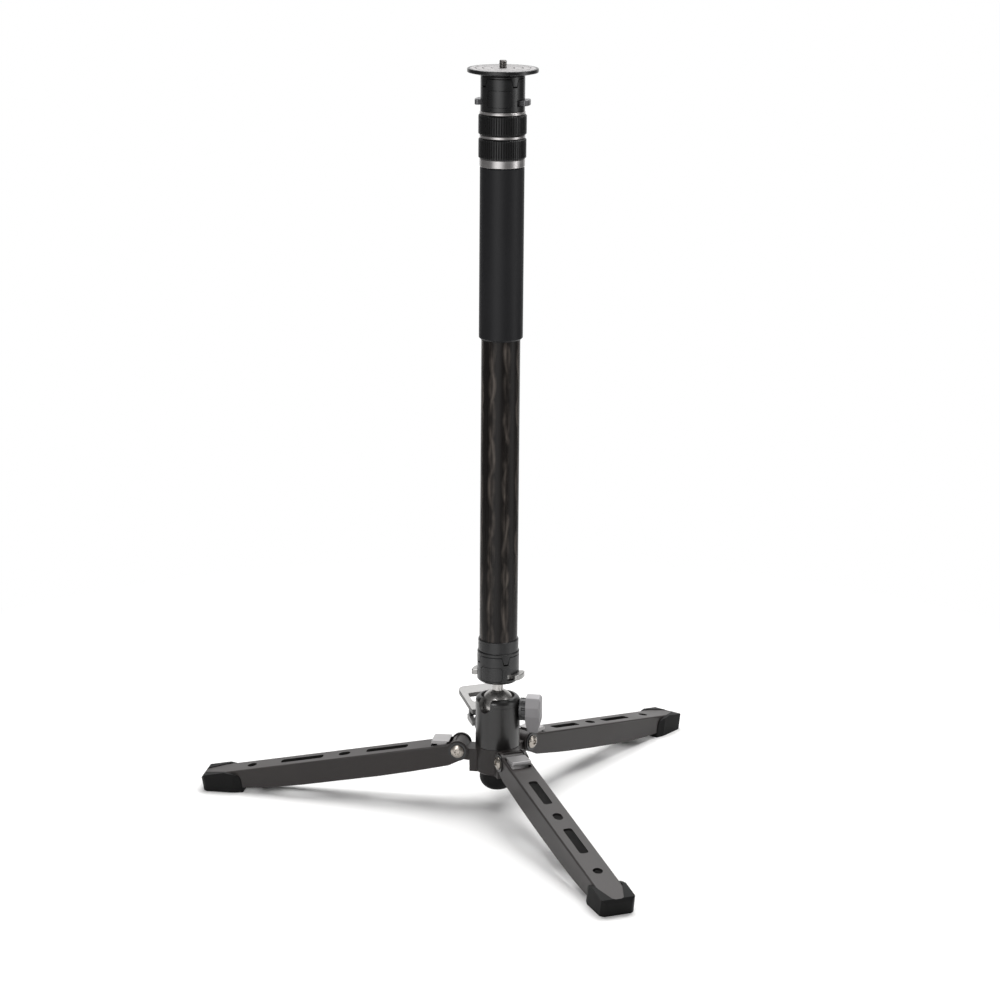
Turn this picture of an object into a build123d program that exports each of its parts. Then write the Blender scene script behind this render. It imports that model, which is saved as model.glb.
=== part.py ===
from build123d import *
import os
from math import asin, cos, degrees, radians, sin, sqrt, tan

os.makedirs("parts", exist_ok=True)

# Camera monopod: three nested tubes on a ball joint over three fold-out legs.
# Millimetres, +Z up, floor at z = 0, column axis at x = y = 0.

# Directions round the column, degrees from +X
leg_sides = ("right", "left", "front")
first_leg_azimuth = 60
leg_spacing_angle = 360 / len(leg_sides)
leg_azimuths = {
    side: first_leg_azimuth + n * leg_spacing_angle for n, side in enumerate(leg_sides)
}
knob_azimuth = 0
pedal_azimuth = 120
notch_azimuth = 240

# Fits
running_gap = 0.05
pivot_gap = 0.08
body_gap = 0.3
teeth_gap = 0.3
groove_gap = 0.3
ball_gap = 0.1
over = 1.0

# Tubes of the column
outer_tube_r = 16.2
outer_tube_wall = 1.5
middle_tube_r = 14.3
middle_tube_wall = 1.4
inner_tube_r = 12.5
inner_tube_wall = 1.3
outer_tube_bore_r = outer_tube_r - outer_tube_wall
middle_tube_bore_r = middle_tube_r - middle_tube_wall
inner_tube_bore_r = inner_tube_r - inner_tube_wall
middle_tube_bottom = 158
inner_tube_bottom = 165
guide_height = 12

# Grip sleeve on the outer tube
grip_r = 18.25
grip_bottom = 410
grip_top = 553.1
grip_edge = 1.6

# Bright end rings and their threaded necks
lower_ring_r = 18.56
lower_ring_bottom = grip_top + body_gap
lower_ring_height = 6.5
lower_ring_top = lower_ring_bottom + lower_ring_height
middle_ring_r = 18.6
middle_ring_height = 2.5
top_ring_r = 18.7
top_ring_height = 2.2
ring_edge = 0.4
neck_wall = 1.1
neck_height = 10
shoulder_depth = 3
tube_in_fitting = 4.3
collet_wall = 1.45
collet_rise = 3.4
collet_slot_count = 4
collet_slot = 0.8
collet_root = 2.5

# Twist collars, each between two rings
collar_height = 16.2
lower_collar_bottom = lower_ring_top + body_gap
lower_collar_top = lower_collar_bottom + collar_height
middle_ring_bottom = lower_collar_top + body_gap
middle_ring_top = middle_ring_bottom + middle_ring_height
upper_collar_bottom = middle_ring_top + body_gap
upper_collar_top = upper_collar_bottom + collar_height
top_ring_bottom = upper_collar_top + body_gap
top_ring_top = top_ring_bottom + top_ring_height
lower_collar_r = 19.55
upper_collar_r = 19.7
collar_core_r = 18.3
collar_tube_gap = 0.4
collar_chamfer = 0.9
collar_groove_count = 60
collar_groove_r = 0.45
collar_groove_margin = 2.2

# Quick coupling, the same at the foot and the head of the column
coupling_floor = 2.8
coupling_bore_r = 12.3
coupling_cavity_r = 15.4
coupling_cavity_height = 6.2
coupling_chamfer = 1.8
coupling_spigot = 11
plug_r = 12
plug_bore_r = 8
plug_groove_depth = 1.0
plug_groove_height = 3
plug_groove_rise = 3
tooth_count = 4
tooth_inner_r = 14.6
tooth_root = 3.4
tooth_tip = 1.8
tooth_height = 6.1
tooth_tip_gap = 0.9
release_inner_r = 12.9
release_outer_r = 15.1
paddle_r = 22.8
paddle_height = 4.5
paddle_start = -38
paddle_span = 46
paddle_edge = 1.2
paddle_window_gap = 0.4
paddle_window_margin = 2
release_travel = 15
panel_turn = -43
panel_width = 19.2
panel_height = 12
panel_lift = 0.1
panel_corner = 2.4
panel_depth = 1.0

# Coupling at the foot of the column
base_coupling_r = 17.9
base_coupling_bottom = 113
base_coupling_height = 24
base_coupling_top = base_coupling_bottom + base_coupling_height
base_teeth_turn = -60
column_flange = 2.5
column_collar_r = 17.2
column_collar_height = 10.4
tube_in_collar = 6.2
column_face = base_coupling_top + body_gap
column_flange_top = column_face + column_flange
column_collar_top = column_flange_top + column_collar_height
outer_tube_bottom = column_collar_top - tube_in_collar
column_groove = 0.5
column_groove_height = 0.6
column_plug_stand = 6.5
column_plug = base_coupling_height + body_gap - coupling_floor - column_plug_stand

# Coupling at the head of the column
top_coupling_r = 18.13
top_coupling_bottom = top_ring_top + body_gap
top_coupling_height = 26.9
top_coupling_floor = 4.1
top_coupling_chamfer = 0.6
top_panel_height = 13.4
top_coupling_top = top_coupling_bottom + top_coupling_height
top_teeth_turn = -48
head_flange = 1.6
head_plug_stand = 5.1
head_plug = top_coupling_height + body_gap - top_coupling_floor - head_plug_stand

# Camera plate and screw
plate_r = 29
plate_rise = 7.4
plate_top = top_coupling_top + plate_rise
plate_rim = 3.2
plate_neck_r = 18.5
pad_r = 26.6
pad_depth = 1.0
pad_groove = 0.5
pad_groove_width = 0.9
pad_groove_rs = (9.5, 16.5, 22.5)
camera_screw_r = 3.175
camera_screw_rise = 6.4
camera_screw_tip = 0.6
camera_screw_relief_r = 2.6
camera_screw_relief_rise = 0.1
camera_screw_head_r = 6.5
camera_screw_head = 3.2
camera_screw_slot = 1.4
head_web = 4.5
plate_screw_circle = 11.2
plate_screw_r = 1.1
plate_screw_head_r = 2.0
plate_screw_head = 1.2
plate_screw_length = 5.5
plate_screw_count = 3

# Ball joint
ball_r = 14.5
ball_z = 90
stem_r = 4.6
stem_head_r = 8
stem_head = 2.4
housing_r = 19
housing_bottom = 54.5
housing_top = 98.6
housing_edge = 2.6
seam_edge = 0.3
mouth_r = 14.4
mouth_depth = 2.7
rim_line_drop = 6.6
rim_line_height = 0.4
rim_line_depth = 0.25
socket_r = 14.8
cavity_r = 14.9
cavity_floor = 62
seat_bottom = 68
seat_top = 82.5
seat_bore_r = 8
disc_count = 4
disc_inner_r = 8.4
disc_outer_r = 14.2
disc_thick = 1.0
notch_half = 5.75
notch_base = 92.5
notch_start = 9

# Lock knob beside the ball
knob_z = 87
stud_r = 4
stud_inner = 17.1
pad_outer = 16.8
pad_inner = 12
boss_start = 19.4
boss_end = 24.6
boss_r = 9.8
boss_flutes = 10
boss_flute_r = 1.3
boss_flute_start = 21.2
knob_end = 37.6
knob_edge = 1.4
knob_corner = 1.2
knob_half = 9.2
knob_crest = 12
knob_crest_half = 6.2
knob_waist = 4
wing_drop = 19.7
wing_half = 4.4
wing_narrow_near = 1.9
wing_narrow_far = 2.6
wing_narrow_start = 9

# Foot pedal beside the ball
pedal_slope = 14.6
pedal_half = 18
pedal_inner_r = 20.3
pedal_end = 51
pedal_reach = 20.6
pedal_rise = 13.9
pedal_thick = 4.1
pedal_corner = 6
pedal_slot_near = 26.5
pedal_slot_far = 39.8
pedal_slot_half = 12.3
pedal_slot_corner = 2.6
yoke_near = 20.9
yoke_far = 24.4
yoke_half = 17.5
arm_near = 15.3
arm_far = 27
arm_inner = 13.6
arm_outer = 17.5
arm_step = 23.4
arm_nose_drop = 2.5
arm_nose_rise = 1.4
arm_back_drop = 0.2
yoke_rise = 4.8
pedal_pivot_x = 18.2
pedal_pivot_rise = 15.3
pedal_pivot_z = housing_bottom + pedal_pivot_rise
pedal_height = pedal_pivot_z + pedal_rise
yoke_bottom = pedal_pivot_z + yoke_rise
arm_nose_low = pedal_pivot_z - arm_nose_drop
arm_nose_high = pedal_pivot_z + arm_nose_rise
arm_back_low = pedal_pivot_z - arm_back_drop
pedal_pin_r = 1.4
lug_end = 20.4
lug_half = 13.2
lug_drop = 5.8
lug_rise = 4.0
lug_bottom = pedal_pivot_z - lug_drop
lug_top = pedal_pivot_z + lug_rise

# Hub under the ball
hub_bottom = 31
hub_edge = 1.2
bolt_r = 4
bolt_head_r = 6.5
bolt_head = 8
bolt_top = 61
bolt_bore_gap = 0.1
bolt_hex = 3
bolt_hex_depth = 3.5
dome_r = 15.2
dome_flat_r = 8
dome_bottom = 15
dome_shoulder = 25.5
dome_bulge_r = 12.9
dome_bulge_z = 18.6

# Leg hinge
hinge_x = 33
hinge_z = 49.6
knuckle_r = 8
knuckle_half = 9
rib_start = 15
rib_bottom = 31
rib_top = 51.4
rib_foot_x = 23
rib_waist_x = 23.2
rib_waist_z = 40.9
rib_back_x = 23.6
detent_depth = 0.9
detent_width = 2.2
detent_angles = (-13.9, 31.1, 76.1)
hinge_screw_r = 3
hinge_head_r = 5.6
hinge_head_top = 15.1
hinge_head_edge = 1.1
washer_r = 7.7
washer_thick = 1.0
hinge_socket_r = 1.9
hinge_socket = 1.4

# Legs, drawn along u from the hinge, tilted down by the slope
leg_half = 11.5
leg_wall = 2.2
leg_top = 6.48
leg_end = 227.5
leg_tip_rise = 7.2048
leg_slope = degrees(asin((hinge_z - leg_tip_rise) / leg_end))
leg_edge = 1.6
ear_r = 9
leg_belly = ((10, -12.0), (60, -13.8), (120, -13.8), (170, -12.0), (205, -7.8))
wall_stop = 13.5
wall_end = leg_end - wall_stop
wall_end_low = -4.5
leg_plate_start = 8.6
latch_mouth_end = 23
latch_mouth_half = 9
slot_half = 3.9
slot_round_share = 0.6
slot_spans = ((45, 82), (121, 159))
oblong_centre = 101.9
oblong_length = 10.5
hole_centre = 185.6
hole_r = 4.1
tongue_length = 19.5
tongue_start = leg_end - tongue_length
tongue_tip_half = 4.6
tongue_round = 3.4

# Rubber feet
foot_cover = 32.5
foot_flare = 7
foot_cap = 2.1
foot_start = leg_end - foot_cover
foot_shoulder = foot_start + foot_flare
foot_end = leg_end + foot_cap
foot_half = 14.6
foot_rear_step = 2.3
foot_rear_half = foot_half - foot_rear_step
foot_bevel = 3
foot_top_rise = 0.6
foot_low = -30
foot_cheek = ((0, -2.0), (1.4, 1.6), (4.6, 3.8))
foot_cheek_length = 13
foot_cheek_end = foot_start + foot_cheek_length
foot_toe_drop = 2.4
foot_round = 1.4

# Leg latches
latch_start = 8.9
latch_end = 22.2
latch_half = 8.7
latch_tip_half = 8.3
latch_top = 11.4
latch_pin_u = 14
latch_pin_w = 3.2
latch_pin_r = 1.5
latch_profile = (
    (latch_start, -0.6),
    (10.7, -0.6),
    (11.6, 0.9),
    (16.2, 0.9),
    (17.4, 7.6),
    (latch_end, 8.4),
    (latch_end, 10.1),
    (20.6, latch_top),
    (6.4, 8.9),
    (6.4, 8.3),
    (latch_start, 7.6),
)


def turned(points):
    """A solid turned about the column axis from (radius, z) points."""
    outline = Polyline(*[(r, 0, z) for r, z in points], close=True)
    return revolve(make_face(outline), Axis.Z)


def disc(radius, bottom, top):
    return Pos(0, 0, (bottom + top) / 2) * Cylinder(radius, top - bottom)


def ring(outer, inner, bottom, top):
    return disc(outer, bottom, top) - disc(inner, bottom - over, top + over)


def block(x0, x1, y0, y1, z0, z1):
    centre = Pos((x0 + x1) / 2, (y0 + y1) / 2, (z0 + z1) / 2)
    return centre * Box(x1 - x0, y1 - y0, z1 - z0)


def rod_x(radius, x0, x1, z):
    return Pos((x0 + x1) / 2, 0, z) * Rot(0, 90, 0) * Cylinder(radius, x1 - x0)


def rod_y(radius, y0, y1, x, z):
    return Pos(x, (y0 + y1) / 2, z) * Rot(90, 0, 0) * Cylinder(radius, y1 - y0)


def side_prism(points, y0, y1):
    """A prism with its outline in x and z, running from y0 to y1."""
    outline = Polyline(*[(x, y0, z) for x, z in points], close=True)
    return extrude(make_face(outline), amount=y1 - y0, dir=(0, 1, 0))


def plan_prism(points, z0, z1):
    """A prism with its outline in x and y, running from z0 to z1."""
    outline = Polyline(*[(x, y, z0) for x, y in points], close=True)
    return extrude(make_face(outline), amount=z1 - z0, dir=(0, 0, 1))


def around(shape, azimuth):
    return Rot(0, 0, azimuth) * shape


def sector(outer, inner, bottom, top, start, span):
    """A part of a ring, from the start angle over the span."""
    corners = ((inner, bottom), (outer, bottom), (outer, top), (inner, top))
    outline = Polyline(*[(r, 0, z) for r, z in corners], close=True)
    return around(revolve(make_face(outline), Axis.Z, revolution_arc=span), start)


def repeated(shape, count):
    """Copies of a shape evenly round the column axis."""
    return [around(shape, 360 / count * n) for n in range(count)]


def save(name, shape):
    solids = shape.solids() if hasattr(shape, "solids") else ShapeList(shape)
    whole = solids[0] if len(solids) == 1 else Compound(children=list(solids))
    export_step(whole, f"parts/{name}.step")


def save_group(name, shapes):
    solids = [solid for shape in shapes for solid in shape.solids()]
    export_step(Compound(children=solids), f"parts/{name}.step")


# Tubes and the shims that centre their lower ends


def tube_guide(tube_r, bore_around, bottom):
    return ring(bore_around - running_gap, tube_r, bottom, bottom + guide_height)


outer_tube_top = lower_ring_bottom + tube_in_fitting
middle_tube_top = middle_ring_bottom + tube_in_fitting
outer_tube = ring(
    outer_tube_r, outer_tube_bore_r, outer_tube_bottom, outer_tube_top
)
middle_tube = ring(
    middle_tube_r, middle_tube_bore_r, middle_tube_bottom, middle_tube_top
)
inner_tube = ring(
    inner_tube_r, inner_tube_bore_r, inner_tube_bottom, top_coupling_bottom
)
save("outer_tube", outer_tube)
save("middle_tube", middle_tube)
save("inner_tube", inner_tube)
save(
    "middle_tube_guide",
    tube_guide(middle_tube_r, outer_tube_bore_r, middle_tube_bottom),
)
save(
    "inner_tube_guide",
    tube_guide(inner_tube_r, middle_tube_bore_r, inner_tube_bottom),
)

# Grip sleeve with rounded ends
grip_sleeve = turned(
    (
        (outer_tube_r, grip_bottom),
        (grip_r - grip_edge, grip_bottom),
        (grip_r, grip_bottom + grip_edge),
        (grip_r, grip_top - grip_edge / 2),
        (grip_r - grip_edge / 2, grip_top),
        (outer_tube_r, grip_top),
    )
)
save("grip_sleeve", grip_sleeve)


# Tube-end fittings, collets and twist collars


def tube_fitting(tube_r, slider_r, ring_r, bottom, shoulder):
    """A bright ring with a threaded neck above it that holds a collet."""
    tube_end = bottom + tube_in_fitting
    seat = max(tube_end, shoulder) + shoulder_depth / 2
    seat_r = slider_r + running_gap + collet_wall
    neck_r = seat_r + neck_wall
    guard_r = slider_r + running_gap + collet_wall / 3
    return turned(
        (
            (tube_r, bottom),
            (ring_r - ring_edge, bottom),
            (ring_r, bottom + ring_edge),
            (ring_r, shoulder - ring_edge),
            (ring_r - ring_edge, shoulder),
            (neck_r, shoulder),
            (neck_r, shoulder + neck_height),
            (seat_r, shoulder + neck_height),
            (seat_r, seat),
            (guard_r, seat),
            (guard_r, tube_end),
            (tube_r, tube_end),
        )
    )


def tube_collet(slider_r, bottom, shoulder):
    """A split sleeve that the collar squeezes onto the sliding tube."""
    seat = max(bottom + tube_in_fitting, shoulder) + shoulder_depth / 2
    top = shoulder + neck_height + collet_rise
    sleeve = ring(
        slider_r + running_gap + collet_wall, slider_r + running_gap, seat, top
    )
    for n in range(collet_slot_count):
        cut = block(
            0, housing_r, -collet_slot / 2, collet_slot / 2, seat + collet_root, top
        )
        sleeve -= around(cut, 360 / collet_slot_count * n)
    return sleeve


def collar_nut(slider_r, bottom, top, shoulder):
    """The threaded core of a twist collar."""
    neck_r = slider_r + running_gap + collet_wall + neck_wall
    lip = shoulder + neck_height + collet_rise + body_gap
    return turned(
        (
            (neck_r + body_gap, bottom),
            (collar_core_r, bottom),
            (collar_core_r, top),
            (slider_r + collar_tube_gap, top),
            (slider_r + collar_tube_gap, lip),
            (neck_r + body_gap, lip),
        )
    )


def collar_cover(radius, bottom, top):
    """The ribbed rubber skin of a twist collar."""
    cover = turned(
        (
            (collar_core_r, bottom),
            (radius - collar_chamfer, bottom),
            (radius, bottom + collar_chamfer),
            (radius, top - collar_chamfer),
            (radius - collar_chamfer, top),
            (collar_core_r, top),
        )
    )
    groove = Pos(radius, 0, 0) * disc(
        collar_groove_r, bottom + collar_groove_margin, top - collar_groove_margin
    )
    for cut in repeated(groove, collar_groove_count):
        cover -= cut
    return cover



save(
    "outer_tube_fitting",
    tube_fitting(
        outer_tube_r, middle_tube_r, lower_ring_r, lower_ring_bottom, lower_ring_top
    ),
)
save(
    "middle_tube_fitting",
    tube_fitting(
        middle_tube_r, inner_tube_r, middle_ring_r, middle_ring_bottom, middle_ring_top
    ),
)
save("lower_collet", tube_collet(middle_tube_r, lower_ring_bottom, lower_ring_top))
save("upper_collet", tube_collet(inner_tube_r, middle_ring_bottom, middle_ring_top))
save(
    "lower_collar_nut",
    collar_nut(middle_tube_r, lower_collar_bottom, lower_collar_top, lower_ring_top),
)
save(
    "upper_collar_nut",
    collar_nut(inner_tube_r, upper_collar_bottom, upper_collar_top, middle_ring_top),
)
save(
    "lower_collar_rubber",
    collar_cover(lower_collar_r, lower_collar_bottom, lower_collar_top),
)
save(
    "upper_collar_rubber",
    collar_cover(upper_collar_r, upper_collar_bottom, upper_collar_top),
)
top_end_ring = turned(
    (
        (inner_tube_r, top_ring_bottom),
        (top_ring_r - ring_edge, top_ring_bottom),
        (top_ring_r, top_ring_bottom + ring_edge),
        (top_ring_r, top_ring_top - ring_edge),
        (top_ring_r - ring_edge, top_ring_top),
        (top_ring_r - ring_edge, top_coupling_bottom),
        (inner_tube_r, top_coupling_bottom),
    )
)
save("top_end_ring", top_end_ring)


# Quick couplings: toothed crown above, housing with a release ring below


def tooth(face_z, outer_r, gap, tip_gap):
    """One crown tooth, or the notch for it when given gaps."""
    root = tooth_root + gap
    tip = tooth_tip + gap
    low = face_z - tooth_height - tip_gap
    outline = Polyline(
        (0, -root, face_z + over),
        (0, root, face_z + over),
        (0, root, face_z),
        (0, tip, low),
        (0, -tip, low),
        (0, -root, face_z),
        close=True,
    )
    bar = extrude(make_face(outline), amount=outer_r + over, dir=(1, 0, 0))
    return bar - disc(tooth_inner_r - gap, low - over, face_z + over * 2)


def coupling_housing(outer_r, bottom, floor, top, edge, turn, floor_bore_r):
    """The cup under a crown, with notches and paddle windows."""
    ceiling = floor + coupling_cavity_height
    cup = turned(
        (
            (floor_bore_r, bottom),
            (outer_r - edge, bottom),
            (outer_r, bottom + edge),
            (outer_r, top - ring_edge),
            (outer_r - ring_edge, top),
            (coupling_bore_r, top),
            (coupling_bore_r, ceiling),
            (coupling_cavity_r, ceiling),
            (coupling_cavity_r, floor),
            (floor_bore_r, floor),
        )
    )
    notch = tooth(top, outer_r, teeth_gap, tooth_tip_gap)
    for n in range(tooth_count):
        cup -= around(notch, turn + 360 / tooth_count * n)
    middle = floor + coupling_cavity_height / 2
    reach = paddle_height / 2 + paddle_window_gap
    window = sector(
        outer_r + over,
        coupling_cavity_r - over,
        middle - reach,
        middle + reach,
        turn - base_teeth_turn + paddle_start - release_travel - paddle_window_margin,
        paddle_span + release_travel + 2 * paddle_window_margin,
    )
    for cut in repeated(window, 2):
        cup -= cut
    return cup


def cover_panel(outer_r, low, height, turn, gap):
    """The flush cover panel of a housing, or its bay when given a gap."""
    outline = RectangleRounded(height + 2 * gap, panel_width + 2 * gap, panel_corner + gap)
    slab = extrude(Plane.YZ * Rot(0, 0, 90) * outline, amount=outer_r + over)
    slab = Pos(0, 0, low + height / 2) * slab
    skin = ring(outer_r + gap, outer_r - panel_depth, low - over, low + height + over)
    return around(slab & skin, turn + panel_turn)


def coupling_crown(outer_r, face_z, flange, plug, turn, web):
    """A toothed flange with a plug that drops into the housing."""
    groove_low = face_z - plug + plug_groove_rise
    crown = turned(
        (
            (0, face_z + flange - web),
            (plug_bore_r, face_z + flange - web),
            (plug_bore_r, face_z - plug),
            (plug_r, face_z - plug),
            (plug_r, groove_low),
            (plug_r - plug_groove_depth, groove_low + plug_groove_depth),
            (plug_r - plug_groove_depth, groove_low + plug_groove_height),
            (plug_r, groove_low + plug_groove_height + plug_groove_depth),
            (plug_r, face_z),
            (outer_r, face_z),
            (outer_r, face_z + flange - ring_edge),
            (outer_r - ring_edge, face_z + flange),
            (0, face_z + flange),
        )
    )
    bar = tooth(face_z, outer_r, 0, 0)
    bar &= disc(outer_r - running_gap, face_z - tooth_height - over, face_z + over)
    for n in range(tooth_count):
        crown += around(bar, turn + 360 / tooth_count * n)
    return crown


def release_ring(housing_floor, turn):
    """A ring in the housing with two thumb paddles."""
    floor = housing_floor + body_gap
    ceiling = housing_floor + coupling_cavity_height - body_gap
    middle = housing_floor + coupling_cavity_height / 2
    band = ring(release_outer_r, release_inner_r, floor, ceiling)
    paddle = sector(
        paddle_r,
        release_outer_r - running_gap,
        middle - paddle_height / 2,
        middle + paddle_height / 2,
        turn - base_teeth_turn + paddle_start,
        paddle_span,
    )
    outer_edges = paddle.edges().filter_by(Axis.Z).sort_by(
        lambda edge: edge.center().X ** 2 + edge.center().Y ** 2
    )[-2:]
    paddle = fillet(outer_edges, paddle_edge * 2)
    rims = [
        edge
        for edge in paddle.edges()
        if abs(edge.center().Z - middle) > paddle_height / 3
        and sqrt(edge.center().X ** 2 + edge.center().Y ** 2) > top_ring_r
    ]
    paddle = fillet(rims, paddle_edge / 2)
    for copy in repeated(paddle, 2):
        band += copy
    return band


base_floor = base_coupling_bottom + coupling_floor
base_coupling_housing = coupling_housing(
    base_coupling_r,
    base_coupling_bottom,
    base_floor,
    base_coupling_top,
    coupling_chamfer,
    base_teeth_turn,
    stem_r + pivot_gap,
)
top_floor = top_coupling_bottom + top_coupling_floor
top_coupling_housing = coupling_housing(
    top_coupling_r,
    top_coupling_bottom,
    top_floor,
    top_coupling_top,
    top_coupling_chamfer,
    top_teeth_turn,
    plug_bore_r,
)
top_coupling_housing += ring(
    inner_tube_bore_r,
    plug_bore_r,
    top_coupling_bottom - coupling_spigot,
    top_coupling_bottom + coupling_floor / 2,
)
base_panel = (base_coupling_r, base_floor + panel_lift, panel_height, base_teeth_turn)
top_panel = (top_coupling_r, top_floor + panel_lift, top_panel_height, top_teeth_turn)
base_coupling_housing -= cover_panel(*base_panel, groove_gap)
top_coupling_housing -= cover_panel(*top_panel, groove_gap)
save("base_coupling_housing", base_coupling_housing)
save("top_coupling_housing", top_coupling_housing)
save("base_cover_panel", cover_panel(*base_panel, 0))
save("top_cover_panel", cover_panel(*top_panel, 0))
save("base_release_ring", release_ring(base_floor, base_teeth_turn))
save("top_release_ring", release_ring(top_floor, top_teeth_turn))

# Column crown: grips the foot of the outer tube
column_crown = coupling_crown(
    base_coupling_r,
    column_face,
    column_flange,
    column_plug,
    base_teeth_turn,
    column_flange,
)
column_crown += turned(
    (
        (0, column_flange_top - column_flange / 2),
        (column_collar_r - column_groove, column_flange_top - column_flange / 2),
        (column_collar_r - column_groove, column_flange_top + column_groove_height),
        (column_collar_r, column_flange_top + column_groove_height),
        (column_collar_r, column_collar_top - ring_edge),
        (column_collar_r - ring_edge, column_collar_top),
        (outer_tube_r, column_collar_top),
        (outer_tube_r, outer_tube_bottom),
        (0, outer_tube_bottom),
    )
)
save("column_crown", column_crown)

# Camera plate on its crown, with a pad and a camera screw
plate_face = top_coupling_top + body_gap
plate_bottom = plate_face + head_flange
plate_crown = coupling_crown(
    top_coupling_r, plate_face, head_flange, head_plug, top_teeth_turn, head_web
)
plate_crown -= disc(camera_screw_r + running_gap, plate_face - head_plug, plate_top)
plate_screw_z = plate_top - pad_depth
plate_screw = turned(
    (
        (0, plate_screw_z - plate_screw_length),
        (plate_screw_r, plate_screw_z - plate_screw_length),
        (plate_screw_r, plate_screw_z - plate_screw_head),
        (plate_screw_head_r, plate_screw_z),
        (0, plate_screw_z),
    )
)
plate_screws = repeated(Pos(plate_screw_circle, 0, 0) * plate_screw, plate_screw_count)
camera_plate = turned(
    (
        (camera_screw_r + running_gap, plate_bottom),
        (plate_neck_r, plate_bottom),
        (plate_r - ring_edge, plate_top - plate_rim),
        (plate_r, plate_top - plate_rim + ring_edge),
        (plate_r, plate_top - ring_edge),
        (plate_r - ring_edge, plate_top),
        (pad_r, plate_top),
        (pad_r, plate_screw_z),
        (camera_screw_r + running_gap, plate_screw_z),
    )
)
for screw in plate_screws:
    camera_plate -= screw
    plate_crown -= screw
plate_pad = ring(pad_r, camera_screw_r + running_gap, plate_screw_z, plate_top)
for radius in pad_groove_rs:
    plate_pad -= ring(
        radius + pad_groove_width / 2,
        radius - pad_groove_width / 2,
        plate_top - pad_groove,
        plate_top + over,
    )
save("plate_crown", plate_crown)
save("camera_plate", camera_plate)
save("plate_pad", plate_pad)
save_group("plate_screws", plate_screws)

screw_top = plate_top + camera_screw_rise
screw_seat = plate_bottom - head_web - body_gap
camera_screw = turned(
    (
        (0, screw_seat - camera_screw_head),
        (camera_screw_head_r, screw_seat - camera_screw_head),
        (camera_screw_head_r, screw_seat),
        (camera_screw_r, screw_seat),
        (camera_screw_r, plate_screw_z),
        (camera_screw_relief_r, plate_screw_z),
        (camera_screw_relief_r, plate_top + camera_screw_relief_rise),
        (camera_screw_r, plate_top + camera_screw_relief_rise),
        (camera_screw_r, screw_top - camera_screw_tip),
        (camera_screw_r - camera_screw_tip, screw_top),
        (0, screw_top),
    )
)
camera_screw -= block(
    -camera_screw_head_r,
    camera_screw_head_r,
    -camera_screw_slot / 2,
    camera_screw_slot / 2,
    screw_seat - camera_screw_head,
    screw_seat - camera_screw_head / 2,
)
save("camera_screw", camera_screw)

# Ball on its stem, held by a head inside the lower coupling
stem_head_bottom = base_coupling_bottom + coupling_floor + body_gap
stem_top = stem_head_bottom + stem_head
ball_stem = Pos(0, 0, ball_z) * Sphere(ball_r)
ball_stem += disc(stem_r, ball_z, stem_head_bottom + stem_head / 2)
ball_stem += disc(stem_head_r, stem_head_bottom, stem_top)
save("ball_stem", ball_stem)

# Ball housing with a drop notch, a knob bore and a pedal lug
rim_line_top = housing_top - rim_line_drop
mouth_low = housing_top - mouth_depth
mouth_low_r = sqrt(socket_r**2 - (mouth_low - ball_z) ** 2)
ball_housing = turned(
    (
        (0, housing_bottom),
        (housing_r - seam_edge, housing_bottom),
        (housing_r, housing_bottom + seam_edge),
        (housing_r, rim_line_top - rim_line_height),
        (housing_r - rim_line_depth, rim_line_top - rim_line_height),
        (housing_r - rim_line_depth, rim_line_top),
        (housing_r, rim_line_top),
        (housing_r, housing_top - housing_edge),
        (housing_r - housing_edge, housing_top),
        (0, housing_top),
    )
)
ball_housing -= disc(cavity_r, cavity_floor, ball_z)
ball_housing -= Pos(0, 0, ball_z) * Sphere(socket_r)
ball_housing -= turned(
    (
        (0, mouth_low),
        (mouth_low_r, mouth_low),
        (mouth_r, housing_top),
        (0, housing_top),
    )
)
ball_housing -= disc(bolt_r + bolt_bore_gap, housing_bottom - over, cavity_floor + over)
notch = block(
    notch_start, housing_r + over, -notch_half, notch_half, notch_base, housing_top + over
)
notch += rod_x(notch_half, notch_start, housing_r + over, notch_base)
ball_housing -= around(notch, notch_azimuth)
knob_bore = rod_x(stud_r + pivot_gap, pad_inner, housing_r + over, knob_z)
ball_housing -= around(knob_bore, knob_azimuth)
lug = block(rib_start, lug_end, -lug_half, lug_half, lug_bottom, lug_top)
lug -= disc(cavity_r, lug_bottom - over, lug_top + over)
pin_bore = rod_y(
    pedal_pin_r + pivot_gap, -housing_r, housing_r, pedal_pivot_x, pedal_pivot_z
)
ball_housing -= around(pin_bore, pedal_azimuth)
ball_housing += around(lug - pin_bore, pedal_azimuth)
save("ball_housing", ball_housing)

ball_seat = ring(cavity_r, seat_bore_r, seat_bottom, seat_top)
ball_seat -= Pos(0, 0, ball_z) * Sphere(ball_r + ball_gap)
save("ball_seat", ball_seat)

disc_pitch = (seat_bottom - cavity_floor) / disc_count
disc_rise = disc_pitch - disc_thick
seat_discs = []
for n in range(disc_count):
    low = cavity_floor + disc_pitch * n
    inner_low = low + disc_rise if n % 2 else low
    outer_low = low if n % 2 else low + disc_rise
    seat_discs.append(
        turned(
            (
                (disc_inner_r, inner_low),
                (disc_outer_r, outer_low),
                (disc_outer_r, outer_low + disc_thick),
                (disc_inner_r, inner_low + disc_thick),
            )
        )
    )
save_group("seat_disc_springs", seat_discs)

lock_pad = rod_x(stud_r, pad_inner, pad_outer, knob_z)
lock_pad -= Pos(0, 0, ball_z) * Sphere(ball_r + ball_gap)
save("lock_pad", around(lock_pad, knob_azimuth))

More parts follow.
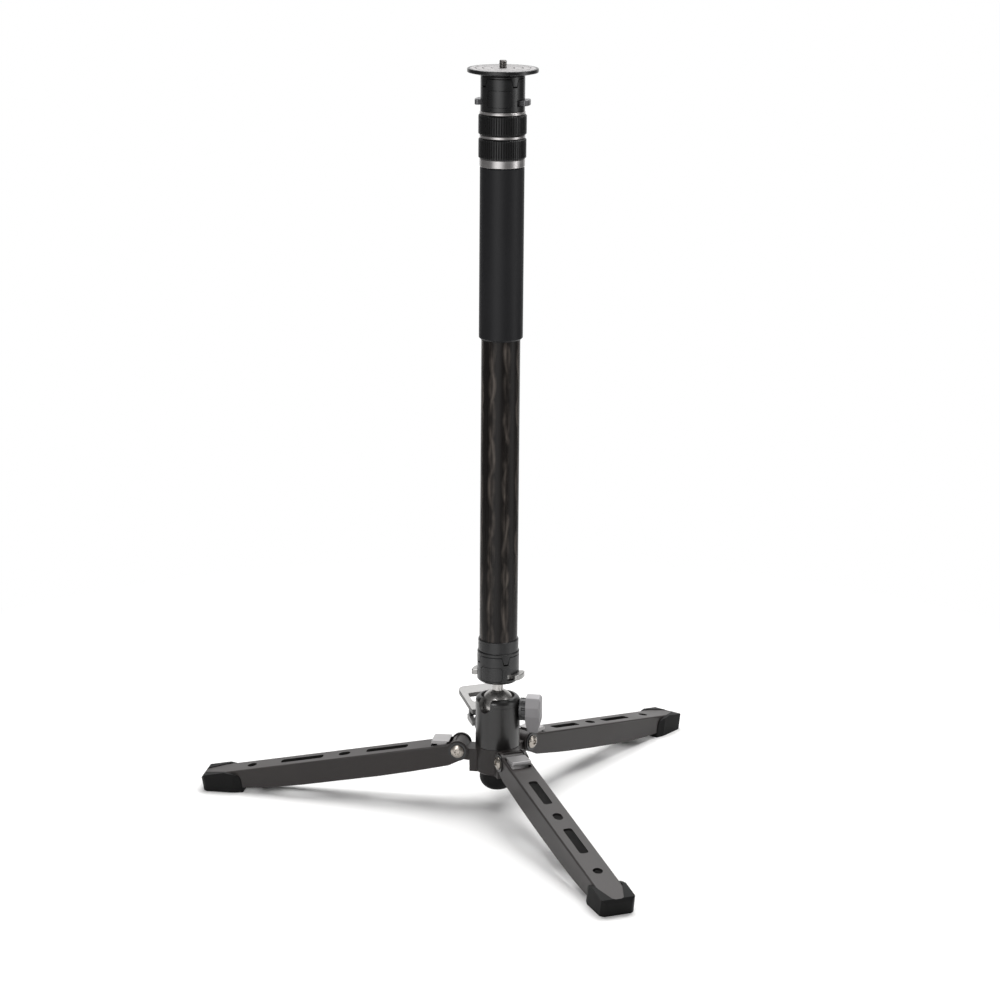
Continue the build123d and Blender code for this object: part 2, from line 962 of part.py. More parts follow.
# Lock knob: stud with a fluted boss, and a winged handle
lock_stud = rod_x(stud_r, stud_inner, knob_end - knob_edge * 2, knob_z)
boss = rod_x(boss_r, boss_start, boss_end, knob_z)
for n in range(boss_flutes):
    turn = radians(360 / boss_flutes * n)
    flute = Pos(0, boss_r * sin(turn), boss_r * cos(turn)) * rod_x(
        boss_flute_r, boss_flute_start, boss_end + over, knob_z
    )
    boss -= flute
lock_stud += boss
save("lock_stud", around(lock_stud, knob_azimuth))

crest_z = knob_z + knob_crest
wing_tip_z = knob_z - wing_drop
knob_front = side_prism(
    (
        (boss_end, crest_z),
        (knob_end - knob_edge, crest_z),
        (knob_end, crest_z - knob_edge * 2),
        (knob_end, knob_z - wing_narrow_start),
        (knob_end - wing_narrow_far, wing_tip_z),
        (boss_end + wing_narrow_near, wing_tip_z),
        (boss_end, knob_z - wing_narrow_start),
    ),
    -knob_half,
    knob_half,
)
half_outline = (
    (knob_crest_half, crest_z),
    (knob_half, knob_z + knob_waist),
    (knob_half, knob_z - knob_waist),
    (wing_half, wing_tip_z),
)
knob_outline = Polyline(
    *[(boss_end, y, z) for y, z in half_outline],
    *[(boss_end, -y, z) for y, z in reversed(half_outline)],
    close=True,
)
knob_side = extrude(make_face(knob_outline), amount=knob_end - boss_end, dir=(1, 0, 0))
knob_side = fillet(knob_side.edges().filter_by(Axis.X), knob_corner)
knob_plan = plan_prism(
    (
        (boss_end, -knob_half),
        (knob_end - knob_edge, -knob_half),
        (knob_end, knob_edge * 2 - knob_half),
        (knob_end, knob_half - knob_edge * 2),
        (knob_end - knob_edge, knob_half),
        (boss_end, knob_half),
    ),
    wing_tip_z,
    crest_z,
)
lock_knob = knob_side & knob_front & knob_plan
lock_knob -= rod_x(stud_r, boss_end - over, knob_end - knob_edge * 2, knob_z)
save("lock_knob", around(lock_knob, knob_azimuth))

# Foot pedal: plate, yoke below it, two arms and their pin
slope_rise = tan(radians(pedal_slope))


def pedal_level(x):
    return pedal_height + (x - pedal_reach) * slope_rise


pedal_outline = Pos((pedal_end + rib_start) / 2, 0) * Rectangle(
    pedal_end - rib_start, 2 * pedal_half
)
pedal_outline = fillet(
    pedal_outline.vertices().group_by(Axis.X)[-1], pedal_corner
)
pedal_outline -= Circle(pedal_inner_r)
pedal_column = Pos(0, 0, knob_z - pedal_end) * extrude(
    pedal_outline, amount=pedal_end * 2
)
pedal_slice = side_prism(
    (
        (0, pedal_level(0) - pedal_thick),
        (pedal_end + over, pedal_level(pedal_end + over) - pedal_thick),
        (pedal_end + over, pedal_level(pedal_end + over)),
        (0, pedal_level(0)),
    ),
    -pedal_half,
    pedal_half,
)
pedal_plate = pedal_column & pedal_slice
pedal_window = block(
    pedal_slot_near,
    pedal_slot_far,
    -pedal_slot_half,
    pedal_slot_half,
    pedal_level(0) - pedal_thick,
    pedal_level(pedal_end),
)
pedal_window = fillet(
    pedal_window.edges().filter_by(Axis.Z), pedal_slot_corner
)
pedal_plate -= pedal_window
save("pedal_plate", around(pedal_plate, pedal_azimuth))

pedal_yoke = side_prism(
    (
        (yoke_near, yoke_bottom),
        (yoke_far, yoke_bottom),
        (yoke_far, pedal_level(yoke_far) - pedal_thick),
        (yoke_near, pedal_level(yoke_near) - pedal_thick),
    ),
    -yoke_half,
    yoke_half,
)
save("pedal_yoke", around(pedal_yoke, pedal_azimuth))

pedal_pin = rod_y(pedal_pin_r, -arm_outer, arm_outer, pedal_pivot_x, pedal_pivot_z)
pedal_arm = side_prism(
    (
        (arm_near, arm_nose_low),
        (arm_far, arm_back_low),
        (arm_far, yoke_bottom),
        (arm_step, yoke_bottom),
        (arm_near + over, arm_nose_high),
        (arm_near, arm_nose_high - over),
    ),
    arm_inner,
    arm_outer,
)
pedal_arm -= pedal_pin
pedal_arms = [pedal_arm, mirror(pedal_arm, about=Plane.XZ)]
save_group("pedal_arms", [around(arm, pedal_azimuth) for arm in pedal_arms])
save("pedal_pin", around(pedal_pin, pedal_azimuth))

# Leg hub with three hinge brackets
leg_hub = turned(
    (
        (0, hub_bottom),
        (housing_r - hub_edge, hub_bottom),
        (housing_r, hub_bottom + hub_edge),
        (housing_r, housing_bottom - seam_edge),
        (housing_r - seam_edge, housing_bottom),
        (0, housing_bottom),
    )
)
bracket = side_prism(
    (
        (rib_start, rib_bottom),
        (rib_foot_x, rib_bottom),
        (rib_waist_x, rib_waist_z),
        (hinge_x, hinge_z - knuckle_r),
        (hinge_x, hinge_z + knuckle_r / 2),
        (rib_back_x, rib_top),
        (rib_start, rib_top),
    ),
    -knuckle_half,
    knuckle_half,
)
bracket += rod_y(knuckle_r, -knuckle_half, knuckle_half, hinge_x, hinge_z)
for angle in detent_angles:
    detent = block(
        knuckle_r - detent_depth,
        knuckle_r + over,
        -latch_half,
        latch_half,
        -detent_width / 2,
        detent_width / 2,
    )
    bracket -= Pos(hinge_x, 0, hinge_z) * Rot(0, -angle, 0) * detent
bracket -= rod_y(
    hinge_screw_r + running_gap, -housing_r, housing_r, hinge_x, hinge_z
)
for azimuth in leg_azimuths.values():
    leg_hub += around(bracket, azimuth)
leg_hub -= disc(bolt_r, hub_bottom - over, housing_bottom + over)
leg_hub -= disc(bolt_head_r, hub_bottom - over, hub_bottom + bolt_head)
save("leg_hub", leg_hub)

hub_bolt = disc(bolt_head_r, hub_bottom, hub_bottom + bolt_head)
hub_bolt += disc(bolt_r, hub_bottom + bolt_head, bolt_top)
hub_bolt -= Pos(0, 0, hub_bottom) * extrude(
    RegularPolygon(bolt_hex, 6), amount=bolt_hex_depth
)
save("hub_bolt", hub_bolt)

dome_line = Line((0, 0, dome_bottom), (dome_flat_r, 0, dome_bottom))
dome_curve = ThreePointArc(
    (dome_flat_r, 0, dome_bottom),
    (dome_bulge_r, 0, dome_bulge_z),
    (dome_r, 0, dome_shoulder),
)
dome_rest = Polyline(
    (dome_r, 0, dome_shoulder), (dome_r, 0, hub_bottom), (0, 0, hub_bottom),
    (0, 0, dome_bottom),
)
monopod_foot = revolve(make_face(dome_line + dome_curve + dome_rest), Axis.Z)
save("monopod_foot", monopod_foot)

# One leg, drawn level along +X from its hinge pin
belly = Spline(*[(u, 0, w) for u, w in leg_belly])
leg_outline = (
    Polyline(
        (leg_belly[0][0], 0, leg_belly[0][1]),
        (0, 0, -ear_r),
        (0, 0, leg_top),
        (leg_end, 0, leg_top),
        (leg_end, 0, leg_top - leg_wall),
        (wall_end, 0, wall_end_low),
        (leg_belly[-1][0], 0, leg_belly[-1][1]),
    )
    + belly
)
leg = extrude(make_face(leg_outline), amount=leg_half, dir=(0, 1, 0), both=True)
long_edges = [
    edge
    for edge in leg.edges().filter_by(Axis.X)
    if edge.center().Z > leg_top - ring_edge
]
leg = fillet(long_edges, leg_edge)
leg += rod_y(ear_r, -leg_half, leg_half, 0, 0)
inner_half = leg_half - leg_wall
inner_top = leg_top - leg_wall
leg -= block(-ear_r - over, leg_end, -inner_half, inner_half, foot_low, inner_top)
leg -= block(
    -ear_r - over, leg_plate_start, -inner_half, inner_half, 0, ear_r + over
)
leg -= block(
    leg_plate_start - over,
    latch_mouth_end,
    -latch_mouth_half,
    latch_mouth_half,
    0,
    leg_top + over,
)
for near, far in slot_spans:
    window = block(near, far, -slot_half, slot_half, inner_top - over, leg_top + over)
    leg -= fillet(window.edges().filter_by(Axis.Z), slot_half * slot_round_share)
oblong = extrude(
    SlotOverall(oblong_length, 2 * slot_half), amount=leg_wall + 2 * over
)
leg -= Pos(oblong_centre, 0, inner_top - over) * oblong
leg -= Pos(hole_centre, 0, 0) * disc(hole_r, inner_top - over, leg_top + over)
for side in (-1, 1):
    leg -= plan_prism(
        (
            (tongue_start, side * leg_half),
            (leg_end + over, side * tongue_tip_half),
            (leg_end + over, side * foot_half),
            (tongue_start, side * foot_half),
        ),
        inner_top,
        leg_top + over,
    )
    leg -= plan_prism(
        (
            (wall_end, side * inner_half),
            (leg_end + over, side * inner_half),
            (leg_end + over, side * foot_half),
            (wall_end, side * foot_half),
        ),
        foot_low,
        inner_top,
    )
tip_edges = [
    edge for edge in leg.edges().filter_by(Axis.Z) if edge.center().X > leg_end - over
]
leg = fillet(tip_edges, tongue_round)
leg -= rod_y(hinge_screw_r, -housing_r, housing_r, 0, 0)
leg -= rod_y(latch_pin_r, -housing_r, housing_r, latch_pin_u, latch_pin_w)

# Its latch: a block with a finger lip, on a cross pin
latch = side_prism(latch_profile, -latch_half, latch_half)
for side in (-1, 1):
    latch -= plan_prism(
        (
            (latch_pin_u, side * latch_half),
            (latch_end + over, side * latch_tip_half),
            (latch_end + over, side * foot_half),
            (latch_pin_u, side * foot_half),
        ),
        -over,
        latch_top + over,
    )
latch -= rod_y(
    latch_pin_r + pivot_gap, -housing_r, housing_r, latch_pin_u, latch_pin_w
)
latch_pin = rod_y(latch_pin_r, -leg_half, leg_half, latch_pin_u, latch_pin_w)

# Its hinge: a washer and a button-head screw at each side
screw_end = leg_half + washer_thick
head_height = hinge_head_top - screw_end
head = Cylinder(hinge_head_r, head_height)
head = fillet(head.edges().sort_by(Axis.Z)[-1], hinge_head_edge)
socket = extrude(RegularPolygon(hinge_socket_r, 6), amount=hinge_socket)
hinge_screw = Pos(0, 0, screw_end + head_height / 2) * head
hinge_screw += disc(hinge_screw_r, body_gap / 2, screw_end)
hinge_screw -= Pos(0, 0, hinge_head_top - hinge_socket) * socket
hinge_washer = ring(washer_r, hinge_screw_r, leg_half, screw_end)
hinge_screws = [Rot(-90, 0, 0) * hinge_screw, Rot(90, 0, 0) * hinge_screw]
hinge_washers = [Rot(-90, 0, 0) * hinge_washer, Rot(90, 0, 0) * hinge_washer]

# Its rubber foot, cut level with the floor
foot_plan = plan_prism(
    (
        (foot_start, -foot_rear_half),
        (foot_shoulder, -foot_half),
        (foot_end - foot_bevel, -foot_half),
        (foot_end, foot_bevel - foot_half),
        (foot_end, foot_half - foot_bevel),
        (foot_end - foot_bevel, foot_half),
        (foot_shoulder, foot_half),
        (foot_start, foot_rear_half),
    ),
    foot_low,
    leg_top + over,
)
foot_plan = fillet(foot_plan.edges().filter_by(Axis.Z), foot_round)
foot_top = leg_top + foot_top_rise
foot_side = side_prism(
    (
        (foot_start, foot_low),
        *[(foot_start + u, w) for u, w in foot_cheek],
        (foot_cheek_end, foot_top),
        (foot_end - foot_toe_drop, foot_top),
        (foot_end, foot_top - foot_toe_drop),
        (foot_end, foot_low),
    ),
    -foot_half,
    foot_half,
)
tongue_space = plan_prism(
    (
        (latch_pin_u, -leg_half),
        (tongue_start, -leg_half),
        (leg_end, -tongue_tip_half),
        (leg_end, tongue_tip_half),
        (tongue_start, leg_half),
        (latch_pin_u, leg_half),
    ),
    leg_top - over,
    leg_top + over * 2,
)
tongue_space = fillet(
    tongue_space.edges().filter_by(Axis.Z).group_by(Axis.X)[-1], tongue_round
)
rubber_foot = (foot_plan & foot_side) - leg - tongue_space

for side, azimuth in leg_azimuths.items():
    place = Rot(0, 0, azimuth) * Pos(hinge_x, 0, hinge_z) * Rot(0, leg_slope, 0)
    ground = block(-leg_end * 2, leg_end * 2, -leg_end * 2, leg_end * 2, foot_low, 0)
    save(f"leg_{side}", place * leg)
    save(f"latch_{side}", place * latch)
    save(f"latch_pin_{side}", place * latch_pin)
    save_group(f"hinge_screws_{side}", [place * screw for screw in hinge_screws])
    save_group(f"hinge_washers_{side}", [place * washer for washer in hinge_washers])
    save(f"rubber_foot_{side}", place * rubber_foot - ground)
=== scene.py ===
import math

import bmesh
import bpy
from mathutils import Matrix, Vector


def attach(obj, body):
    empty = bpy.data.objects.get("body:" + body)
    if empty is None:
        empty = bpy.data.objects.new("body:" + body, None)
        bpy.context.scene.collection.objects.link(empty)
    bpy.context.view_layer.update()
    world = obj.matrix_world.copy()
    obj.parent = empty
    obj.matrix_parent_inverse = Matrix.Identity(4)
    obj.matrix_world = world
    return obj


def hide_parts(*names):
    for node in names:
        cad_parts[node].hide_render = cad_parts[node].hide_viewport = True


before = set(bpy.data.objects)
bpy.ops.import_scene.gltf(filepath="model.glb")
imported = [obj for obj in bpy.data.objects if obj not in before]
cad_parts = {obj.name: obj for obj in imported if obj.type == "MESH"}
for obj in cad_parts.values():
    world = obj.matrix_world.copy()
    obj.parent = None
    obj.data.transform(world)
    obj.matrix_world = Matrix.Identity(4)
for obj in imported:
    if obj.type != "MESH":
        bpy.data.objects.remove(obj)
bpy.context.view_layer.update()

scene = bpy.context.scene

# Where the picture was taken from
# A long lens 2.27 m off and 0.89 m up looks down at the monopod by 15 degrees.
# The model faces the way its three legs are named, so the camera stands a little to the right.
scene.view_settings.view_transform = "Standard"
CAMERA_DISTANCE = 2.2732
CAMERA_HEIGHT = 0.88875
CAMERA_TURN = 8.17
CAMERA_PITCH = 15.191
CAMERA_ROLL = 0.467
CAMERA_SHIFT = 0.0005
CAMERA_LENS = 100.86
CAMERA_FILM = 36
CAMERA_NEAREST = 0.05
lens = bpy.data.cameras.new("long_lens")
lens.sensor_width = CAMERA_FILM
lens.lens = CAMERA_LENS
lens.shift_x = CAMERA_SHIFT
lens.clip_start = CAMERA_NEAREST
camera = bpy.data.objects.new("long_lens", lens)
scene.collection.objects.link(camera)
camera.matrix_world = (
    Matrix.Rotation(math.radians(CAMERA_TURN), 4, "Z")
    @ Matrix.Translation((0, -CAMERA_DISTANCE, CAMERA_HEIGHT))
    @ Matrix.Rotation(math.radians(90 - CAMERA_PITCH), 4, "X")
    @ Matrix.Rotation(math.radians(CAMERA_ROLL), 4, "Z")
)
scene.camera = camera


# The floor and the light
# A pale seamless floor keeps a soft shadow and turns white further out, under three soft lamps.
# The world is white to the eye, uneven in reflections, and a plain low level as light.
def node(tree, kind, **values):
    """A node with its settings; a value called in_NAME or in_NUMBER goes to that input."""
    made = tree.nodes.new(kind)
    for key, value in values.items():
        if key.startswith("in_"):
            name = key[3:].replace("_", " ")
            made.inputs[int(name) if name.isdigit() else name].default_value = value
        else:
            setattr(made, key, value)
    return made


def socket_math(tree, operation, *inputs):
    """A math node on sockets and numbers."""
    made = node(tree, "ShaderNodeMath", operation=operation)
    for index, value in enumerate(inputs):
        if isinstance(value, bpy.types.NodeSocket):
            tree.links.new(value, made.inputs[index])
        else:
            made.inputs[index].default_value = value
    return made.outputs[0]


def ranged(tree, factor, low, high, start=0.0, end=1.0):
    """A factor that passes from start to end, moved so that it passes from low to high."""
    made = node(tree, "ShaderNodeMapRange")
    for name, value in zip(("From Min", "From Max", "To Min", "To Max"), (start, end, low, high)):
        made.inputs[name].default_value = value
    tree.links.new(factor, made.inputs["Value"])
    return made.outputs["Result"]


# What shines in the metal: the direction of a bright side in degrees round the column, how white
# it is, and how far from its middle, in degrees, it is full and has faded to the room's level.
BRIGHT_SIDES = ((98, 1.0, 22, 48), (-104, 1.5, 4, 32), (-8, 1.1, 4, 24))
ROOM_LEVEL = 0.12
BACKDROP_RISE = 0.6


def backdrop(tree, direction):
    """How directly a place is looked at, and how white it is there.

    The eye sees white all round. Metal and glass see the same white behind the object,
    a darker room round it, a lit table in front, and a window on the right.
    """
    path = node(tree, "ShaderNodeLightPath")
    by_eye = path.outputs["Is Camera Ray"]
    shiny = socket_math(tree, "MAXIMUM", path.outputs["Is Glossy Ray"],
                        path.outputs["Is Transmission Ray"])
    seen = socket_math(tree, "MAXIMUM", by_eye, shiny)
    flatter = node(tree, "ShaderNodeMapping", in_Scale=(1, 1, BACKDROP_RISE))
    tree.links.new(direction, flatter.inputs["Vector"])
    ahead = node(tree, "ShaderNodeVectorMath", operation="NORMALIZE")
    tree.links.new(flatter.outputs["Vector"], ahead.inputs[0])
    level = by_eye
    for azimuth, white, inner, outer in BRIGHT_SIDES:
        aim = (math.cos(math.radians(azimuth)), math.sin(math.radians(azimuth)), 0)
        toward = node(tree, "ShaderNodeVectorMath", operation="DOT_PRODUCT", in_1=aim)
        tree.links.new(ahead.outputs[0], toward.inputs[0])
        start, end = math.cos(math.radians(outer)), math.cos(math.radians(inner))
        side_level = ranged(tree, toward.outputs["Value"], ROOM_LEVEL, white, start, end)
        level = socket_math(tree, "MAXIMUM", level, side_level)
    return seen, level


WORLD_LEVEL = 0.21
WHITE = (1, 1, 1, 1)
world = bpy.data.worlds.new("studio")
scene.world = world
world.use_nodes = True
world_tree = world.node_tree
world_tree.nodes.clear()
world_out = node(world_tree, "ShaderNodeOutputWorld")
world_light = node(world_tree, "ShaderNodeBackground", in_Color=WHITE, in_Strength=WORLD_LEVEL)
world_white = node(world_tree, "ShaderNodeBackground", in_Color=WHITE)
world_mix = node(world_tree, "ShaderNodeMixShader")
world_way = node(world_tree, "ShaderNodeTexCoord").outputs["Generated"]
world_seen, world_level = backdrop(world_tree, world_way)
world_tree.links.new(world_seen, world_mix.inputs["Fac"])
world_tree.links.new(world_level, world_white.inputs["Strength"])
world_tree.links.new(world_light.outputs["Background"], world_mix.inputs[1])
world_tree.links.new(world_white.outputs["Background"], world_mix.inputs[2])
world_tree.links.new(world_mix.outputs["Shader"], world_out.inputs["Surface"])

FLOOR_HALF = 40.0
FLOOR_SEEN = (0.97, 0.965, 0.96, 1)
FLOOR_BOUNCE = (0.36, 0.358, 0.355, 1)
FLOOR_NEAR = 0.28
FLOOR_FAR = 0.75
floor_material = bpy.data.materials.new("pale_floor")
floor_material.use_nodes = True
floor_tree = floor_material.node_tree
floor_tree.nodes.clear()
floor_out = node(floor_tree, "ShaderNodeOutputMaterial")
floor_paint = node(floor_tree, "ShaderNodeBsdfDiffuse")
floor_tone = node(floor_tree, "ShaderNodeMix", data_type="RGBA", in_6=FLOOR_BOUNCE, in_7=FLOOR_SEEN)
floor_white = node(floor_tree, "ShaderNodeEmission", in_Color=WHITE)
floor_mix = node(floor_tree, "ShaderNodeMixShader")
floor_place = node(floor_tree, "ShaderNodeTexCoord").outputs["Object"]
floor_reach = node(floor_tree, "ShaderNodeVectorMath", operation="LENGTH")
floor_tree.links.new(floor_place, floor_reach.inputs[0])
floor_seen, floor_level = backdrop(floor_tree, floor_place)
floor_away = ranged(floor_tree, floor_reach.outputs["Value"], 0.0, 1.0, FLOOR_NEAR, FLOOR_FAR)
floor_share = socket_math(floor_tree, "MULTIPLY", floor_seen, floor_away)
floor_tree.links.new(floor_share, floor_mix.inputs["Fac"])
floor_tree.links.new(floor_level, floor_white.inputs["Strength"])
floor_tree.links.new(floor_seen, floor_tone.inputs[0])
floor_tree.links.new(floor_tone.outputs[2], floor_paint.inputs["Color"])
floor_tree.links.new(floor_paint.outputs[0], floor_mix.inputs[1])
floor_tree.links.new(floor_white.outputs[0], floor_mix.inputs[2])
floor_tree.links.new(floor_mix.outputs[0], floor_out.inputs["Surface"])
floor_mesh = bpy.data.meshes.new("floor")
floor_corners = [(x * FLOOR_HALF, y * FLOOR_HALF, 0) for x, y in ((-1, -1), (1, -1), (1, 1), (-1, 1))]
floor_mesh.from_pydata(floor_corners, [], [(0, 1, 2, 3)])
floor_mesh.materials.append(floor_material)
floor = bpy.data.objects.new("floor", floor_mesh)
scene.collection.objects.link(floor)

# Each lamp's place, what it points at, its width and height, and its watts.
LAMPS = {
    "lamp_above": ((0.1, 0.85, 2.4), (0, 0, 0.1), 2.4, 2.0, 82.0),
    "lamp_front": ((-0.6, -2.2, 1.5), (0, 0, 0.35), 0.6, 1.5, 19.0),
    "lamp_right": ((2.0, -0.3, 0.9), (0, 0, 0.35), 0.35, 1.7, 4.0),
}
for lamp_name, (place, aim, width, height, watts) in LAMPS.items():
    lamp_data = bpy.data.lights.new(lamp_name, "AREA")
    lamp_data.shape = "RECTANGLE"
    lamp_data.size = width
    lamp_data.size_y = height
    lamp_data.energy = watts
    lamp = bpy.data.objects.new(lamp_name, lamp_data)
    scene.collection.objects.link(lamp)
    lamp.location = place
    lamp.rotation_euler = (Vector(aim) - Vector(place)).to_track_quat("-Z", "Y").to_euler()


# Hub and leg castings
# Aluminium, bead-blasted and anodised a warm near-black; edges are broken by tumbling.
# The hub carries three hinge brackets, and each leg is a bent channel with lightening slots.
MM = 0.001
SIDES = ("right", "left", "front")


def colour(red, green, blue):
    """A colour given as 0 to 255, as a picture shows it, in linear light."""
    out = []
    for value in (red, green, blue):
        share = value / 255
        out.append(share / 12.92 if share <= 0.04045 else ((share + 0.055) / 1.055) ** 2.4)
    return (*out, 1.0)


def object_place(tree, stretch=(1, 1, 1)):
    """Object coordinates, stretched so that a texture can run along an axis."""
    place = node(tree, "ShaderNodeTexCoord")
    mapping = node(tree, "ShaderNodeMapping", in_Scale=stretch)
    tree.links.new(place.outputs["Object"], mapping.inputs["Vector"])
    return mapping.outputs["Vector"]


def cloud(tree, vector, scale, detail=3.0):
    """A noise texture's factor."""
    made = node(tree, "ShaderNodeTexNoise", in_Scale=scale, in_Detail=detail)
    tree.links.new(vector, made.inputs["Vector"])
    return made.outputs["Fac"]


def between(tree, factor, first, second):
    """A colour that passes from first to second; either may be a socket."""
    made = node(tree, "ShaderNodeMix", data_type="RGBA")
    for index, value in ((6, first), (7, second)):
        if isinstance(value, bpy.types.NodeSocket):
            tree.links.new(value, made.inputs[index])
        else:
            made.inputs[index].default_value = value
    tree.links.new(factor, made.inputs[0])
    return made.outputs[2]


def shaded(name, metal, specular):
    """A new material with a Principled shader; constants go on its own sockets."""
    material = bpy.data.materials.new(name)
    material.use_nodes = True
    tree = material.node_tree
    tree.nodes.clear()
    output = node(tree, "ShaderNodeOutputMaterial")
    shader = node(tree, "ShaderNodeBsdfPrincipled")
    shader.inputs["Metallic"].default_value = metal
    shader.inputs["Specular IOR Level"].default_value = specular
    tree.links.new(shader.outputs["BSDF"], output.inputs["Surface"])
    return material, tree, shader


def bump(tree, shader, height, strength, depth):
    """Raises a shader's surface by a height texture."""
    made = node(tree, "ShaderNodeBump", in_Strength=strength, in_Distance=depth)
    tree.links.new(height, made.inputs["Height"])
    tree.links.new(made.outputs["Normal"], shader.inputs["Normal"])


# A noise factor stays mostly between these two, so they are stretched to the full range.
NOISE_LOW = 0.3
NOISE_HIGH = 0.7
DRIFT_SHARE = 0.65
GRAIN_SHARE = 0.35
GRAIN_STRENGTH = 0.2


def blasted(name, dark, light, metal, specular, rough, rough_spread, grain=2600.0, grain_depth=0.00002,
            stretch=(1, 1, 1), patch=28.0):
    """A blasted, moulded or turned surface: drifting tone, uneven sheen and a fine grain."""
    material, tree, shader = shaded(name, metal, specular)
    place = object_place(tree, stretch)
    drift = cloud(tree, place, patch, detail=5.0)
    fine = cloud(tree, place, grain, detail=2.0)
    drift_tone = ranged(tree, drift, 0.0, DRIFT_SHARE, NOISE_LOW, NOISE_HIGH)
    tone = socket_math(tree, "MULTIPLY_ADD", fine, GRAIN_SHARE, drift_tone)
    tree.links.new(between(tree, tone, dark, light), shader.inputs["Base Color"])
    sheen = ranged(tree, drift, rough - rough_spread, rough + rough_spread, NOISE_LOW, NOISE_HIGH)
    tree.links.new(sheen, shader.inputs["Roughness"])
    bump(tree, shader, fine, GRAIN_STRENGTH, grain_depth)
    return material


def dress(material, *names):
    """Gives CAD nodes a material through their own slots."""
    for name in names:
        for material_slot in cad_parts[name].material_slots:
            material_slot.material = material


def settled(piece, name):
    """Puts the evaluated mesh in place of a piece's own, and takes its modifiers off."""
    bpy.context.view_layer.update()
    depsgraph = bpy.context.evaluated_depsgraph_get()
    final = bpy.data.meshes.new_from_object(piece.evaluated_get(depsgraph))
    final.name = name
    piece.modifiers.clear()
    piece.data = final


MERGE_REACH = 0.002 * MM
FLAT_ANGLE = 1.0
RIM_REACH = 0.06 * MM
RIM_STEPS = 5


def softened(name, body, material, edge, steps=2, sharp=35, rims=()):
    """Stands for a CAD node with a copy whose sharp edges are broken by a small round.

    Rims are (radius, height, round) of turned edges that are rounded further.
    """
    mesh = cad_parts[name].data.copy()
    shape = bmesh.new()
    shape.from_mesh(mesh)
    bmesh.ops.remove_doubles(shape, verts=shape.verts, dist=MERGE_REACH)
    bmesh.ops.dissolve_limit(shape, angle_limit=math.radians(FLAT_ANGLE),
                             verts=shape.verts, edges=shape.edges)
    for radius, height, rim_round in rims:
        rim = [side for side in shape.edges if all(
            abs(math.hypot(end.co.x, end.co.y) - radius) < RIM_REACH
            and abs(end.co.z - height) < RIM_REACH
            for end in side.verts
        )]
        bmesh.ops.bevel(shape, geom=rim, offset=rim_round, segments=RIM_STEPS, profile=0.5,
                        affect="EDGES", clamp_overlap=False)
    for face in shape.faces:
        face.smooth = True
    shape.to_mesh(mesh)
    shape.free()
    mesh.materials.clear()
    mesh.materials.append(material)
    piece = bpy.data.objects.new(name + "_finished", mesh)
    scene.collection.objects.link(piece)
    rounding = piece.modifiers.new("edges", "BEVEL")
    rounding.width = edge
    rounding.segments = steps
    rounding.limit_method = "ANGLE"
    rounding.angle_limit = math.radians(sharp)
    rounding.use_clamp_overlap = True
    level = piece.modifiers.new("flat_faces_stay_flat", "WEIGHTED_NORMAL")
    level.mode = "FACE_AREA"
    level.weight = 100
    level.keep_sharp = True
    settled(piece, name + "_finished")
    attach(piece, body)
    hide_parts(name)
    return piece


HUB_EDGE = 0.8 * MM
LEG_EDGE = 0.35 * MM
LEG_TURNS = {"right": 60, "left": 180, "front": 300}
LEG_SLOPE = 10.74
HINGE_OUT = 33 * MM
HINGE_UP = 49.6 * MM
CHANNEL_HALF = 9.6 * MM
CHANNEL_TOP = 6.0 * MM
anodised = blasted("warm_black_anodised", colour(52, 49, 48), colour(62, 58, 57),
                   metal=0.0, specular=0.3, rough=0.39, rough_spread=0.05)
# The inside of each leg's channel is the same anodised metal, given a darker copy as painted shade under the
# leg.
channel_painted_shade = blasted("channel_painted_shade", colour(26, 25, 24), colour(36, 34, 33),
                       metal=0.0, specular=0.2, rough=0.6, rough_spread=0.05)
softened("leg_hub", "base", anodised, HUB_EDGE, steps=3)
for side in SIDES:
    leg = softened(f"leg_{side}", f"leg_{side}", anodised, LEG_EDGE)
    leg.data.materials.append(channel_painted_shade)
    along_leg = (
        Matrix.Rotation(math.radians(LEG_TURNS[side]), 4, "Z")
        @ Matrix.Translation((HINGE_OUT, 0, HINGE_UP))
        @ Matrix.Rotation(math.radians(LEG_SLOPE), 4, "Y")
    ).inverted()
    # Faces inside the channel, under the leg, take the painted shade.
    for polygon in leg.data.polygons:
        middle = along_leg @ polygon.center
        if abs(middle.y) < CHANNEL_HALF and middle.z < CHANNEL_TOP:
            polygon.material_index = 1

# Rubber feet
# Moulded black rubber boots pushed over the leg ends, with round corners and a dull skin.
# A domed foot of the same rubber sits under the hub for use with the legs folded.
FOOT_EDGE = 1.1 * MM
foot_rubber = blasted("foot_rubber", colour(13, 13, 13), colour(22, 22, 22),
                      metal=0.0, specular=0.18, rough=0.62, rough_spread=0.05,
                      grain=1500.0, grain_depth=0.00006)
for side in SIDES:
    softened(f"rubber_foot_{side}", f"leg_{side}", foot_rubber, FOOT_EDGE, steps=3)
dress(foot_rubber, "monopod_foot")

# Leg latches
# Die-cast levers over the hinge, blasted a light grey, each on a cross pin.
LATCH_EDGE = 0.5 * MM
latch_grey = blasted("latch_grey", colour(156, 154, 154), colour(176, 174, 174),
                     metal=0.5, specular=0.5, rough=0.38, rough_spread=0.05)
for side in SIDES:
    softened(f"latch_{side}", f"latch_{side}", latch_grey, LATCH_EDGE)
dress(anodised, *[f"latch_pin_{side}" for side in SIDES])

